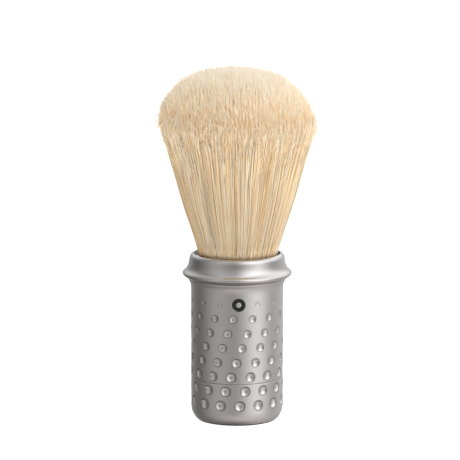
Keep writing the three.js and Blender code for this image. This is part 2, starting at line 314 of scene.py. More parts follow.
def noise(tree, vector, scale, detail=2.0, roughness=0.5):
    inputs = {"Scale": scale, "Detail": detail, "Roughness": roughness, "Vector": vector}
    return add_node(tree, "TexNoise", inputs).outputs[0]


def spread(tree, value, low, high):
    """A 0..1 value spread over low..high."""
    inputs = {"To Min": low, "To Max": high, "Value": value}
    return add_node(tree, "MapRange", inputs).outputs[0]


def calc(tree, operation, *values):
    return add_node(tree, "Math", dict(enumerate(values)), operation=operation).outputs[0]


def mix_color(tree, factor, a, b, blend="MIX"):
    a, b = [(*c, 1) if isinstance(c, tuple) else c for c in (a, b)]
    node = add_node(tree, "Mix", data_type="RGBA", blend_type=blend)
    set_inputs(node, {0: factor, 6: a, 7: b})
    return node.outputs[2]


def color_ramp(tree, value, stops, interpolation="LINEAR"):
    """stops are (position, (red, green, blue)), in order."""
    node = add_node(tree, "ValToRGB", {"Fac": value})
    node.color_ramp.interpolation = interpolation
    elements = node.color_ramp.elements
    while len(elements) > 1:
        elements.remove(elements[-1])
    for i, (position, color) in enumerate(stops):
        stop = elements[0] if i == 0 else elements.new(position)
        stop.position = position
        stop.color = (*color, 1)
    return node.outputs["Color"]


def add_bump(tree, bsdf, height, strength, distance):
    inputs = {"Strength": strength, "Distance": distance, "Height": height}
    set_inputs(bsdf, {"Normal": add_node(tree, "Bump", inputs).outputs[0]})


# ------------------------------------------------------------------ materials
def satin_metal(name, dark, light, rough, grain, hollow_rough=None):
    """Bead-blasted metal: a fine even grain, slightly uneven tone and roughness.
    With hollow_rough it also reads the dimples' attributes."""
    material, tree, bsdf = new_material(name)
    vector = object_coords(tree)
    fine = noise(tree, vector, scale=9000, detail=3, roughness=0.6)
    broad = noise(tree, vector, scale=40, detail=3)
    tint = mix_color(tree, spread(tree, broad, 0.2, 0.8), dark, light)
    if hollow_rough is not None:
        # painted shade, with a little grime, darkens the angle just inside each hollow's edge
        shade_and_grime = spread(tree, attribute(tree, "rim_shade_and_grime"), 0.0, 0.80)
        tint = mix_color(tree, shade_and_grime, tint, (0.09, 0.082, 0.078))
    fine_part = spread(tree, fine, -0.03, 0.03)
    broad_part = spread(tree, broad, rough - 0.02, rough + 0.02)
    roughness = calc(tree, "ADD", fine_part, broad_part)
    if hollow_rough is not None:
        # the hollows are smoother than the blasted wall
        inside = spread(tree, broad, hollow_rough - 0.02, hollow_rough + 0.02)
        inputs = {0: attribute(tree, "hollow"), 2: roughness, 3: inside}
        roughness = add_node(tree, "Mix", inputs).outputs[0]
    set_inputs(bsdf, {"Base Color": tint, "Metallic": 1, "Roughness": roughness})
    add_bump(tree, bsdf, fine, strength=grain, distance=0.00002)
    return material


def turned_metal(name, dark, light, rough, lines):
    """Lathe-turned metal: very fine rings round Z under a soft polish."""
    material, tree, bsdf = new_material(name)
    vector = object_coords(tree)
    z = add_node(tree, "SeparateXYZ", {0: vector}).outputs["Z"]
    rings = add_node(tree, "TexNoise", noise_dimensions="1D")
    set_inputs(rings, {"Scale": 7000, "Detail": 2, "W": z})
    rings = rings.outputs[0]
    broad = noise(tree, vector, scale=90)
    set_inputs(bsdf, {
        "Base Color": mix_color(tree, spread(tree, broad, 0.2, 0.8), dark, light),
        "Metallic": 1,
        "Roughness": spread(tree, rings, rough - 0.03, rough + 0.03),
    })
    add_bump(tree, bsdf, rings, strength=lines, distance=0.000006)
    return material


def dielectric(name, dark, light, rough, scale, grain, coat=0.0, specular=0.5):
    """Mottled rubber, enamel, resin or cord."""
    material, tree, bsdf = new_material(name)
    vector = object_coords(tree)
    mottle = noise(tree, vector, scale, detail=3)
    set_inputs(bsdf, {
        "Base Color": mix_color(tree, mottle, dark, light),
        "Roughness": spread(tree, mottle, rough - 0.05, rough + 0.05),
        "Specular IOR Level": specular,
        "Coat Weight": coat,
    })
    fine = noise(tree, vector, scale * 4, detail=3)
    add_bump(tree, bsdf, fine, strength=grain, distance=0.00003)
    return material


SATIN = satin_metal(
    "satin_metal", dark=(0.60, 0.586, 0.578), light=(0.66, 0.646, 0.638),
    rough=0.33, grain=0.35, hollow_rough=0.17,
)
COLLAR_METAL = turned_metal(
    "collar_metal", dark=(0.55, 0.538, 0.53), light=(0.60, 0.588, 0.58), rough=0.19, lines=0.15
)
CUP_METAL = turned_metal(
    "cup_metal", dark=(0.52, 0.515, 0.51), light=(0.58, 0.575, 0.57), rough=0.3, lines=0.3
)
BRASS = turned_metal(
    "ballast_brass", dark=(0.60, 0.41, 0.17), light=(0.68, 0.49, 0.23), rough=0.3, lines=0.3
)
STEEL = turned_metal(
    "screw_steel", dark=(0.36, 0.36, 0.37), light=(0.44, 0.44, 0.45), rough=0.33, lines=0.3
)
SILVER = satin_metal(
    "badge_silver", dark=(0.78, 0.775, 0.77), light=(0.84, 0.835, 0.83), rough=0.16, grain=0.1
)
ENAMEL = dielectric(
    "badge_enamel", dark=(0.005, 0.005, 0.006), light=(0.008, 0.008, 0.009),
    rough=0.16, scale=600, grain=0.05, coat=0.2,
)
SEAL_RUBBER = dielectric(
    "seal_rubber", dark=(0.012, 0.012, 0.012), light=(0.022, 0.022, 0.022),
    rough=0.5, scale=1500, grain=0.3,
)
# a dark rubber foot whose near-black brown also paints the contact shade along the base's bottom edge
FOOT_RUBBER_AND_SHADE = dielectric(
    "foot_rubber", dark=(0.007, 0.005, 0.004), light=(0.012, 0.009, 0.008),
    rough=0.8, scale=2500, grain=0.5, specular=0.2,
)
RESIN = dielectric(
    "amber_resin", dark=(0.42, 0.23, 0.06), light=(0.60, 0.37, 0.13),
    rough=0.15, scale=300, grain=0.1, coat=0.4,
)


# ------------------------------------------------------------------ dimpled walls
# The wall is tiled with cells, one to a dimple. A cell is a centre point and rings of 64 points,
# the last of which is the cell's border. A hollow's profile lists (radius, depth below the wall,
# painted shade and grime) from its centre outward; a depth of None lies on the badge seat's flat
# floor.
def dimple_profile(diameter):
    radius = diameter / 2
    depth = BALL_R - math.sqrt(BALL_R**2 - radius * radius)
    full = math.asin(radius / BALL_R)
    # how far the rim is darkened by painted shade and a little grime, more for the larger hollows
    shade_and_grime = min(1.0, (diameter - 1.0) / 1.3)
    profile = [(0.0, depth, 0.0)]
    # bowl rings: share of the ball's angle, and share of the rim's painted shade and grime
    bowl = ((0.16, 0), (0.34, 0), (0.52, 0), (0.68, 0), (0.82, 0.15), (0.92, 0.6))
    for share, bowl_shade_and_grime in bowl:
        t = full * share
        profile.append((BALL_R * math.sin(t), depth - BALL_R * (1 - math.cos(t)), bowl_shade_and_grime * shade_and_grime))
    drop = RIM * math.tan(full)
    return profile + [
        (radius - RIM, drop * 0.86, shade_and_grime),
        (radius - RIM * 0.35, drop * 0.26, shade_and_grime),
        (radius + RIM * 0.35, 0.012, 0.9 * shade_and_grime),
        (radius + RIM * 1.3, 0.0, 0.35 * shade_and_grime),
    ]


def seat_profile():
    """The badge's seat: a straight recess with a flat floor."""
    radius = SEAT_D / 2
    floor = [(r, None, 0.0) for r in (0.0, 0.8, 1.6, radius - 0.05)]
    wall = [(radius - 0.01, 0.75), (radius, 0.06), (radius + 0.05, 0.005), (radius + 0.16, 0.0)]
    return floor + [(r, depth, 0.0) for r, depth in wall]


def cell_rings(profile, z_mid, z_low, z_high):
    """Rings of a cell as (points, depth, painted shade and grime); points are (across, up) from its
    centre.
    """
    half = CELL_COLS / 2
    rise = z_high - z_low
    border = [(-half + i, z_low) for i in range(CELL_COLS)]
    border += [(half, z_low + rise * i / CELL_ROWS) for i in range(CELL_ROWS)]
    border += [(half - i, z_high) for i in range(CELL_COLS)]
    border += [(-half, z_high - rise * i / CELL_ROWS) for i in range(CELL_ROWS)]
    border = np.array(border, float)
    border = np.stack([border[:, 0] * COLUMN_MM, border[:, 1] - z_mid], 1)
    direction = border / np.linalg.norm(border, axis=1)[:, None]
    rings = [(direction * radius, depth, shade_and_grime) for radius, depth, shade_and_grime in profile[1:]]
    edge = rings[-1][0]
    for t in (0.2, 0.55):
        rings.append((edge * (1 - t) + border * t, 0.0, 0.0))
    rings.append((border, 0.0, 0.0))
    return rings


def column_angle(column):
    return column * 2 * math.pi / COLS


class DimpledBand:
    """The wall over the rows from first_row, between borders that run from the top down.
    shared finds a border vertex by its half-column and height."""

    def __init__(self, first_row, borders):
        self.verts, self.faces, self.shared = [], [], {}
        self.hollow, self.rim_shade_and_grime = [], []
        for row, (z_high, z_low) in enumerate(zip(borders, borders[1:]), first_row):
            for i in range(PER_ROW):
                is_seat = row == 0 and i == 0
                profile = seat_profile() if is_seat else dimple_profile(ROW_D[row])
                self.add_cell(profile, -ROW_STEP * row + CELL_COLS * i, ROW_Z[row], z_low, z_high)

    def put(self, angle, z, depth, shade_and_grime=0.0):
        if depth is None:  # a flat floor square to the badge's own direction
            radius = SEAT_FLOOR / math.cos(angle - BADGE_TURN)
        else:
            radius = WALL_R - depth
        self.verts.append((radius * math.sin(angle), -radius * math.cos(angle), z))
        self.hollow.append(1.0 if depth is not None and depth > 0.02 else 0.0)
        self.rim_shade_and_grime.append(shade_and_grime)
        return len(self.verts) - 1

    def border_vertex(self, half_column, angle, z):
        key = (half_column % (2 * COLS), round(z, 4))
        if key not in self.shared:
            self.shared[key] = self.put(angle, z, 0)
        return self.shared[key]

    def add_cell(self, profile, mid_column, z_mid, z_low, z_high):
        mid_angle = BADGE_TURN + column_angle(mid_column)
        rings = cell_rings(profile, z_mid, z_low, z_high)
        inner = None
        for k, (points, depth, shade_and_grime) in enumerate(rings):
            ring = []
            for across, up in points:
                column = across / COLUMN_MM
                angle = mid_angle + column_angle(column)
                if depth is None:
                    angle = mid_angle + math.atan2(across, SEAT_FLOOR)
                if k == len(rings) - 1:
                    half_column = round((mid_column + column) * 2)
                    ring.append(self.border_vertex(half_column, angle, z_mid + up))
                else:
                    ring.append(self.put(angle, z_mid + up, depth, shade_and_grime))
            if inner is None:
                centre = self.put(mid_angle, z_mid, profile[0][1])
                self.faces += [(centre, a, b) for a, b in neighbours(ring)]
            else:
                pairs = zip(neighbours(inner), neighbours(ring))
                self.faces += [(a, c, d, b) for (a, b), (c, d) in pairs]
            inner = ring

    def border_ring(self, z):
        """The vertices of the border at z, and their half-columns."""
        keys = sorted(k for k in self.shared if abs(k[1] - z) < 2e-4)
        return [self.shared[k] for k in keys], [k[0] for k in keys]


def dimpled_piece(name, first_row, borders, profile, threads, **roles):
    """A closed turned piece with a dimpled wall. The profile runs from the wall's upper border
    over the inside and back to its lower border."""
    band = DimpledBand(first_row, borders)
    top, half_columns = band.border_ring(borders[0])
    bottom, _ = band.border_ring(borders[-1])
    angle = BADGE_TURN + column_angle(np.array(half_columns) / 2)
    verts, rings = lathe(profile, angle, thread_wave(threads), first=len(band.verts))
    verts = np.concatenate([band.verts, verts])
    faces = band.faces + join_all([top, *rings, bottom])
    obj = make(name, verts, faces, SATIN, slot="satin_metal", **roles)
    for mark, values in (("hollow", band.hollow), ("rim_shade_and_grime", band.rim_shade_and_grime)):
        add_attribute(obj, mark, values + [0.0] * (len(verts) - len(values)))
    with mesh_edit(obj) as bm:
        bmesh.ops.recalc_face_normals(bm, faces=bm.faces)
        # the many hollows may mislead the recalculation, so a shell turned inside out is reversed
        if sum(f.calc_area() * f.normal.dot(f.calc_center_median()) for f in bm.faces) < 0:
            bmesh.ops.reverse_faces(bm, faces=bm.faces)
    sharp_edges(obj, 38)


def barrel():
    base_bore, knot_bore = 10.73, 11.81
    threads = {
        base_bore: dict(crest_z=BASE_CREST_Z, depth=0.80, high=21.3, **BORE_FORM),
        knot_bore: dict(crest_z=KNOT_CREST_Z, depth=0.77, low=34.9, **BORE_FORM),
    }
    neck = [
        (WALL_R, 41.3), (14.405, 41.6), (14.425, 41.9), (14.465, 42.3), (14.53, 42.7),
        (14.63, 43.1), (14.76, 43.45), (14.91, 43.75), (15.07, 44.02), (15.23, 44.28),
        (15.36, 44.52), (15.43, 44.68), (15.43, 44.78), (15.38, 44.85), (15.28, 44.88),
    ]
    inside = [
        (14.2, 44.88), (13.75, 44.88), (13.64, 44.84), (13.6, 44.72), (13.6, 43.6),
        (13.6, 43.0), (13.55, 42.92), (13.3, 42.9), (12.66, 42.9),
        *thread_rows(knot_bore, 42.85, 34.55),
        (11.6, 34.4), (10.4, 34.12), (10.1, 33.9), (10.1, 30), (10.1, 26), (10.1, 22.2),
        (10.3, 21.9),
        *thread_rows(base_bore, 21.5, 16.35),
        (11.62, 16.3), (11.7, 16.3), (11.86, 16.27), (11.9, 16.15), (11.9, 15.0),
        (11.9, 13.9), (11.94, 13.72), (12.05, 13.6), (12.2, 13.53),
    ]
    lower_edge = [(13.0, 13.52), (14.18, 13.52), (14.27, 13.535), (14.34, 13.57), (14.385, 13.625)]
    dimpled_piece(
        "barrel_shell", 0, BARREL_BORDERS, neck + inside + lower_edge, threads,
        body="handle", replaces=("handle_barrel",),
    )


def base_cap():
    shank = 10.6
    threads = {
        shank: dict(crest_z=BASE_CREST_Z, depth=0.8, low=16.15, high=20.75, **SHANK_FORM),
    }
    upper_side = [
        (14.385, 13.355), (14.34, 13.415), (14.27, 13.45), (14.18, 13.465), (13.0, 13.465),
        (12.1, 13.465), (11.88, 13.49), (11.8, 13.58), (11.8, 14.1), (11.74, 14.18),
        (11.6, 14.2), (10.5, 14.2), (10.3, 14.24), (10.235, 14.4), (10.235, 15.85),
        (10.3, 16.0), (10.4, 16.05),
        *thread_rows(shank, 16.1, 20.6),
        (10.45, 20.8), (10.2, 20.9), (9.5, 20.9), (9.22, 20.87), (9.15, 20.75), (9.15, 18),
        (9.15, 12), (9.15, 6), (9.15, 3.5), (9.1, 3.34), (8.9, 3.3), (4, 3.3), (1.8, 3.3),
        (1.62, 3.2), (1.62, 2.5), (1.55, 1.95), (1.3, 1.9), (0, 1.9),
    ]
    underside = [
        (0, 1.26), (6, 1.26), (12.15, 1.26), (12.31, 1.2), (12.31, 0.6), (12.35, 0.48),
        (12.45, 0.45), (12.62, 0.45), (12.72, 0.46),
    ]
    heel = [
        (WALL_R - HEEL_R + HEEL_R * math.cos(t), CAP_BORDERS[-1] + HEEL_R * math.sin(t))
        for t in map(math.radians, np.linspace(-46, -3, 18))
    ]
    dimpled_piece(
        "cap_shell", 6, CAP_BORDERS, upper_side + underside + heel, threads,
        body="base", replaces=("base_cap",),
    )


# ------------------------------------------------------------------ turned pieces
def foot():
    # the foot's near-black colour also stands as painted contact shade under the cap's edge
    turned(
        "foot_rubber",
        round_profile([(0, 0), (12.25, 0), (12.25, 1.2), (0, 1.2)], radius=0.12, steps=4),
        cols=270, sharp=50,
        body="base", slot="foot_rubber", replaces=("foot_pad",), material=FOOT_RUBBER_AND_SHADE,
    )


def ballast():
    outline = [
        (1.72, 3.4), (1.72, 11.9), (3.4, 11.9), (3.4, 15.4), (8.57, 15.4), (9.07, 14.9),
        (9.07, 3.35), (1.72, 3.35),
    ]
    turned(
        # the last point only guides the rounding before it; the profile closes onto the first
        "ballast_weight", round_profile(outline, radius=0.08, steps=3)[:-1],
        cols=128, closed=True, sharp=40,
        body="base", slot="ballast_brass", replaces=("ballast_slug",), material=BRASS,
    )


def oring(name, mid_r, mid_z, thickness, **roles):
    points = 24
    section = [
        (mid_r + thickness / 2 * math.cos(t), mid_z + thickness / 2 * math.sin(t))
        for t in [2 * math.pi * i / points for i in range(points)]
    ]
    turned(
        name, section, cols=160, closed=True, slot="seal_rubber", material=SEAL_RUBBER, **roles
    )


def collar():
    outer = [
        (15.35, 44.95), (15.62, 44.97), (15.85, 45.06), (16.1, 45.2), (16.36, 45.36),
        (16.6, 45.52), (16.8, 45.69), (16.95, 45.86), (17.06, 46.04), (17.11, 46.22),
        (17.12, 46.4), (17.07, 46.58), (16.97, 46.75), (16.81, 46.93), (16.6, 47.12),
        (16.36, 47.32), (16.12, 47.54), (15.9, 47.79), (15.71, 48.07), (15.54, 48.39),
        (15.4, 48.74), (15.27, 49.12), (15.16, 49.52), (15.07, 49.93), (15.0, 50.34),
        (14.96, 50.72), (14.93, 51.05), (14.88, 51.32), (14.79, 51.6), (14.65, 51.87),
        (14.47, 52.11), (14.25, 52.31), (14.02, 52.46), (13.8, 52.56), (13.62, 52.58),
        (13.49, 52.53), (13.42, 52.42), (13.4, 52.28),
    ]
    inner = [
        (13.4, 51.6), (13.4, 50.95), (13.38, 50.75), (13.3, 50.68), (13.05, 50.6), (12.99, 50.5),
        (12.98, 50.3), (12.98, 48), (12.98, 45.2), (13.02, 45.02), (13.15, 44.95), (14.2, 44.95),
    ]
    turned(
        "collar_shell", cut_corners(outer) + inner, cols=256, closed=True, sharp=45,
        body="knot", slot="polished_metal", replaces=("collar_ring",), material=COLLAR_METAL,
    )


def knot_cup():
    shank = 11.68
    threads = {
        shank: dict(crest_z=KNOT_CREST_Z, depth=0.77, low=36.3, high=42.3, **SHANK_FORM),
    }
    profile = [
        (0, 34.9), (6, 34.9), (11.1, 34.9), (11.3, 34.95), (11.6, 35.25),
        *thread_rows(shank, 35.4, 42.8),
        (11.7, 42.95), (11.85, 42.97), (11.96, 43.05), (11.96, 44.6), (12.02, 44.74),
        (12.2, 44.76), (12.75, 44.76), (12.88, 44.8), (12.92, 44.95), (12.92, 48),
        (12.92, 50.4), (12.86, 50.54), (12.71, 50.6), (12.3, 50.6), (12.15, 50.55),
        (11.6, 49.0), (11.0, 47.4), (10.95, 47.2), (10.95, 42), (10.95, 36.3),
        (10.85, 36.12), (10.6, 36.1), (5, 36.1), (0, 36.1),
    ]
    turned(
        "knot_ferrule", profile, cols=200, wave=thread_wave(threads), sharp=45,
        body="knot", slot="cup_metal", replaces=("knot_cup",), material=CUP_METAL,
    )


def resin_plug():
    outline = [(0, 36.16), (10.89, 36.16), (10.89, 39.6), (10.3, 39.6), (10.3, 37.34), (0, 37.34)]
    turned(
        "resin_plug", round_profile(outline, radius=0.12, steps=3), cols=128, sharp=50,
        body="knot", slot="resin", replaces=("knot_resin",), material=RESIN,
    )


def ballast_screw():
    """The socket screw: a turned body whose head carries a hexagonal socket."""
    socket_r = 1.45  # to the hexagon's corners
    shaft_and_head = [
        (0, 2.0), (1.25, 2.0), (1.55, 2.4), (1.55, 11.95), (2.9, 11.95), (3.1, 12.15),
        (3.1, 14.6), (2.8, 14.9), (1.9, 14.9),
    ]
    socket = [(1.5, 14.9), (1.46, 14.84), (socket_r, 13.45), (1.2, 13.4), (0, 13.35)]

    def hexagon(radius, z, angle):
        if z > 13.39 and radius < 1.51:
            side = np.cos((angle % (math.pi / 3)) - math.pi / 6)
            return socket_r * math.cos(math.pi / 6) / side * (radius / socket_r)
        return np.full(len(angle), radius)

    turned(
        "ballast_bolt", round_profile(shaft_and_head, radius=0.08, steps=3) + socket,
        cols=96, wave=hexagon, sharp=35,
        body="base", slot="screw_steel", replaces=("ballast_screw",), material=STEEL,
    )


def badge_piece(name, profile, cols, material, slot, replaces):
    """A turned piece whose own axis lies along the badge's direction; heights in its profile
    are distances from the brush's axis."""
    obj = turned(name, profile, cols, material=material)
    outward = np.array([math.sin(BADGE_TURN), -math.cos(BADGE_TURN), 0])
    across = np.array([math.cos(BADGE_TURN), math.sin(BADGE_TURN), 0])
    up = np.array([0, 0, 1.0])

    def swing(p):
        return p[:, :1] * across + p[:, 1:2] * up + p[:, 2:3] * outward + up * ROW_Z[0] * MM

    move_vertices(obj, swing)
    face_outward(obj)
    register(obj, "handle", slot, replaces)
    sharp_edges(obj, 40)


def badge():
    face = [(0, 13.42), (2.03, 13.42), (2.03, 14.3), (0.86, 14.3), (0.86, 13.98), (0, 13.98)]
    stud = [(0, 14.04), (0.8, 14.04), (0.8, 14.28), (0.72, 14.33), (0, 14.36)]
    badge_piece(
        "badge_face", round_profile(face, radius=0.07, steps=4), cols=72,
        material=ENAMEL, slot="badge_enamel", replaces=("badge_disc",),
    )
    badge_piece(
        "badge_stud", round_profile(stud, radius=0.05, steps=4), cols=48,
        material=SILVER, slot="badge_silver", replaces=("badge_dot",),
    )


barrel()
base_cap()
foot()
ballast()
oring("base_oring", 11.04, 15.15, 1.55, body="base_ring", replaces=("base_seal",))
oring("collar_oring", 12.76, 43.93, 1.5, body="collar_ring_seal", replaces=("collar_seal",))
collar()
knot_cup()
resin_plug()
ballast_screw()
badge()

# ------------------------------------------------------------------ shape of the knot
rng = np.random.default_rng(20260)

# the fan's side: height, radius
FAN = np.array([
    (36.0, 10.2), (44.0, 10.3), (48.0, 10.9), (50.6, 11.5), (52.6, 12.0), (53.96, 12.4),
    (54.91, 12.75), (56.49, 13.3), (58.07, 13.75), (59.65, 14.25), (61.23, 14.84),
    (64.38, 15.9), (67.53, 16.95), (70.68, 17.85), (73.82, 18.75), (76.96, 19.6),
    (80.1, 20.45), (83.24, 21.42), (86.37, 22.4), (89.5, 23.35), (91.06, 23.75),
    (92.63, 24.1), (94.19, 24.35), (96.0, 24.65), (99, 25.0), (103, 25.2), (107, 25.45),
    (113, 25.8),
])
# its top: radius, height
DOME = np.array([
    (0.0, 111.68), (3.0, 111.66), (6.0, 111.36), (9.0, 110.86), (11.5, 110.31),
    (13.5, 109.66), (15.2, 108.86), (17.0, 107.76), (18.5, 106.45), (20.0, 104.95),
    (21.3, 103.2), (22.4, 101.2), (23.3, 99.3), (23.95, 97.3), (24.35, 95.3), (24.6, 93.3),
    (25.0, 89.5),
])
# the waves that part the outer hairs: count round the knot, phase, weight
LANES = list(zip((59, 83, 113, 151), rng.uniform(0, 2 * math.pi, 4), (0.6, 1.0, 0.9, 0.8)))


def fan_radius(z):
    return np.interp(z, FAN[:, 0], FAN[:, 1])


def tip_height(share):
    """The height at which a hair at this share of the fan's radius meets the dome."""
    z = np.linspace(88, 112.2, 400)
    radius = share[:, None] * fan_radius(z)[None]
    dome = np.interp(radius, DOME[:, 0], DOME[:, 1], right=88)
    return z[np.argmax(z[None] >= dome, axis=1)]


def lane(angle):
    """-1..1 round the knot: where the outer hairs part into grooves and stand in ridges."""
    total = sum(weight * np.sin(count * angle + phase) for count, phase, weight in LANES)
    return np.tanh(total * 0.9)


def lean(z):
    """How far the knot's middle lies towards +X; its head leans the other way."""
    return 0.25 - 0.95 * smoothstep((z - 93) / 8)


def fan_points(share, angle, z):
    radius = share * fan_radius(z)
    return np.stack([radius * np.sin(angle) + lean(z), -radius * np.cos(angle), z], 2)


def keep_in(paths, loose):
    """Holds points inside the fan and under the dome, each hair allowed its own small excess."""
    x, y, z = paths[..., 0] - lean(paths[..., 2]), paths[..., 1], paths[..., 2]
    radius = np.hypot(x, y) + 1e-9
    limit = fan_radius(z) + loose * (0.35 + 0.65 * smoothstep((z - 97) / 7))
    held = limit + 0.25 * np.tanh((radius - limit) / 1.5)
    scale = np.where(radius > limit, held / radius, 1)
    x, y, radius = x * scale, y * scale, radius * scale
    top = np.interp(radius, DOME[:, 0], DOME[:, 1], right=DOME[-1, 1]) + loose
    lowered = np.where(z > top, top + 0.25 * np.tanh((z - top) / 1.5), z)
    return np.stack([x + lean(paths[..., 2]), y, lowered], -1)


# ------------------------------------------------------------------ hair
def prisms(paths, widths):
    """Closed three-sided prisms along (n, k, 3) paths that end in a tip.
    Returns the vertices, one prism's triangles and each vertex's share of the length."""
    n, k, _ = paths.shape
    tangent = np.gradient(paths, axis=1)
    tangent /= np.linalg.norm(tangent, axis=2)[:, :, None] + 1e-12
    spin = rng.uniform(0, 2 * math.pi, n)
    spun = np.stack([np.cos(spin), np.sin(spin), np.zeros(n)], 1)[:, None, :]
    side = spun - (spun * tangent).sum(2)[:, :, None] * tangent
    side /= np.linalg.norm(side, axis=2)[:, :, None] + 1e-12
    other = np.cross(tangent, side)
    edges = []
    for turn in (0, 2 * math.pi / 3, 4 * math.pi / 3):
        way = side[:, :-1] * math.cos(turn) + other[:, :-1] * math.sin(turn)
        edges.append(paths[:, :-1] + way * (widths[:, :-1, None] / 2))
    body = np.stack(edges, 2)
    verts = np.concatenate([body.reshape(n, -1, 3), paths[:, -1:, :]], 1)
    faces = [(0, 2, 1)]
    for base in range(0, (k - 2) * 3, 3):
        for c in range(3):
            d = (c + 1) % 3
            faces.append((base + c, base + d, base + 3 + d))
            faces.append((base + c, base + 3 + d, base + 3 + c))
    base = (k - 2) * 3
    tip = (k - 1) * 3
    for c in range(3):
        faces.append((base + c, base + (c + 1) % 3, tip))
    share = np.concatenate([np.repeat(np.linspace(0, 1, k)[:-1], 3), [1.0]])
    return verts, np.array(faces), share


hair_batches = []  # (vertices, triangles, shares, tone of each hair, angle of each root)


def add_hairs(paths, widths, tone, angle):
    hair_batches.append((*prisms(paths, widths), tone, angle))


def bloom(obj):
    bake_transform(obj)


def map_strands(mesh, faces, strand, share, count):
    """Gives each hair one narrow strip of the UV map, along its length."""
    uv = mesh.uv_layers.new(name="OFBake")
    cols = int(math.ceil(math.sqrt(count / 8.0))) * 8
    rows = int(math.ceil(count / cols))
    u = (strand % cols + 0.5) / cols
    v = (strand // cols + 0.06 + 0.88 * share) / rows
    # the three corners of a triangle spread over the strip's width so that no face is empty
    corner = np.tile(np.array([-0.3, 0.0, 0.3]), len(faces)) / cols
    loops = faces.ravel()
    places = np.stack([u[loops] + corner, v[loops]], 1)
    uv.data.foreach_set("uv", places.astype(np.float32).ravel())


def write_hair(material, parts):
    """Writes the gathered hairs as a few meshes, parted by the angle of their roots."""
    for part in range(parts):
        gathered = []
        first_vertex = strands_done = 0
        for verts, faces, share, tone, angle in hair_batches:
            sector = (angle % FULL_TURN) / FULL_TURN * parts
            pick = np.floor(sector).astype(int) % parts == part
            n, per_hair, _ = verts[pick].shape
            starts = (np.arange(n) * per_hair)[:, None, None]
            gathered.append((
                verts[pick].reshape(-1, 3),
                (faces[None] + starts + first_vertex).reshape(-1, 3),
                np.repeat(tone[pick], per_hair),
                np.tile(share, n),
                np.repeat(np.arange(n) + strands_done, per_hair),
            ))
            first_vertex += n * per_hair
            strands_done += n
        verts, faces, tone, share, strand = map(np.concatenate, zip(*gathered))
        obj = make(f"hair_lock_{part + 1}", verts, faces, material, slot="hair")
        add_attribute(obj, "tone", tone)
        add_attribute(obj, "height", verts[:, 2] * 0.01)
        map_strands(obj.data, faces, strand, share, strands_done)
        bloom(obj)


def from_height(z):
    return lambda top: np.full(len(top), float(z))


def below_dome(low, high):
    """Roots at any depth between low and high below the dome, so no edge shows where they begin."""
    return lambda top: top - rng.uniform(low, high, len(top))


def strands(count, clump, between, root, short, width, tone, stops, fork, flags, power=None, dive=0.0):
    """Hairs from root up to the dome, in clumps that draw together low down and open at the tips.

    between  shares of the fan's radius between which the clumps stand
    root     gives the roots' heights from the tips'
    short    how far tips may fall short of the dome, in mm; with power, short * u**power, where
             u is uniform over 0..1, else about a half-normal
    stops    shares of the length that get a point
    fork     number of the stop at which the flags, fine fibres, leave the hair
    dive     how far inside its own place a hair starts, as a share of the radius
    """
    groups = count // clump
    clump_share = np.sqrt(rng.uniform(between[0] ** 2, between[1] ** 2, groups))
    clump_angle = rng.uniform(0, 2 * math.pi, groups)
    clump_tone = rng.normal(0, 1, groups)
    clump_cut = np.abs(rng.normal(0, 1, groups))
    member = np.repeat(np.arange(groups), clump)
    n = len(member)
    mid_share, mid_angle = clump_share[member], clump_angle[member]
    # own place of each hair round its clump's middle
    place = rng.normal(0, 1, (n, 2))
    top = tip_height(mid_share)
    if power:
        cut = 0.6 * (short * rng.random(groups) ** power)[member]
        cut = cut + 0.4 * (short * rng.random(n) ** power)
    else:
        cut = (0.6 * clump_cut[member] + 0.5 * np.abs(rng.normal(0, 1, n))) * short
        cut = cut + rng.uniform(0, 0.5, n)
    over = np.minimum(rng.exponential(0.42, n), 1.6) - 0.25
    z_tip = top - cut + over
    z_root = root(top)
    t = np.array(stops, float)[None]
    z = z_root[:, None] + (z_tip - z_root)[:, None] * t

    # how open the clump is at each height, in mm
    opening = 0.22 + 0.08 * smoothstep((z - 60) / 20) + 0.42 * smoothstep((z - 82) / 24)
    opening = np.where(z < 57, 0.22 + 0.30 * (57 - z) / 6, opening)
    fan = fan_radius(z)
    around = np.maximum(mid_share[:, None] * fan, 3)  # the radius that turns mm into an angle

    # slow waves along the hair, in mm, that grow with height
    phase = rng.uniform(0, 2 * math.pi, (n, 2))
    sway = rng.normal(0, 1, (n, 2)) * 0.2
    grow = smoothstep((z - 56) / 30)
    wave_out = sway[:, :1] * np.sin(z * 0.11 + phase[:, :1]) * grow
    wave_round = sway[:, 1:] * np.sin(z * 0.13 + phase[:, 1:]) * grow

    share = mid_share[:, None] + place[:, :1] * opening * 0.55 / fan
    share = share + wave_out / fan - dive * (1 - t) ** 2
    # the outermost hairs sink a little in the grooves, over the fan's middle heights
    groove = lane(clump_angle)[member]
    outermost = smoothstep((mid_share - 0.8) / 0.12)
    sink = (0.008 * (1 - groove) * outermost)[:, None]
    share = share - sink * smoothstep((z - 54) / 10) * (1 - smoothstep((z - 92) / 14))
    angle = mid_angle[:, None] + place[:, 1:] * opening / around + wave_round / around

    stray = np.minimum(rng.exponential(0.2, n), 0.8)
    loose = (np.maximum(over, 0) + stray - 0.1)[:, None]
    paths = keep_in(fan_points(np.clip(share, 0, None), angle, z), loose)
    taper = np.interp(t, [0, 0.08, 0.8, 0.93, 1], [0.8, 1, 0.95, 0.5, 0.2])
    widths = width * rng.uniform(0.75, 1.25, n)[:, None] * taper
    tones = tone + 0.11 * clump_tone[member] + 0.12 * rng.normal(0, 1, n)
    # hairs in the grooves are painted darker and warmer, as the shade there
    tones = tones + 0.18 * np.minimum(groove + 0.2, 0) * outermost
    add_hairs(paths, widths, tones, mid_angle)
    add_flags(paths, fork, flags, loose, width, tones, mid_angle)


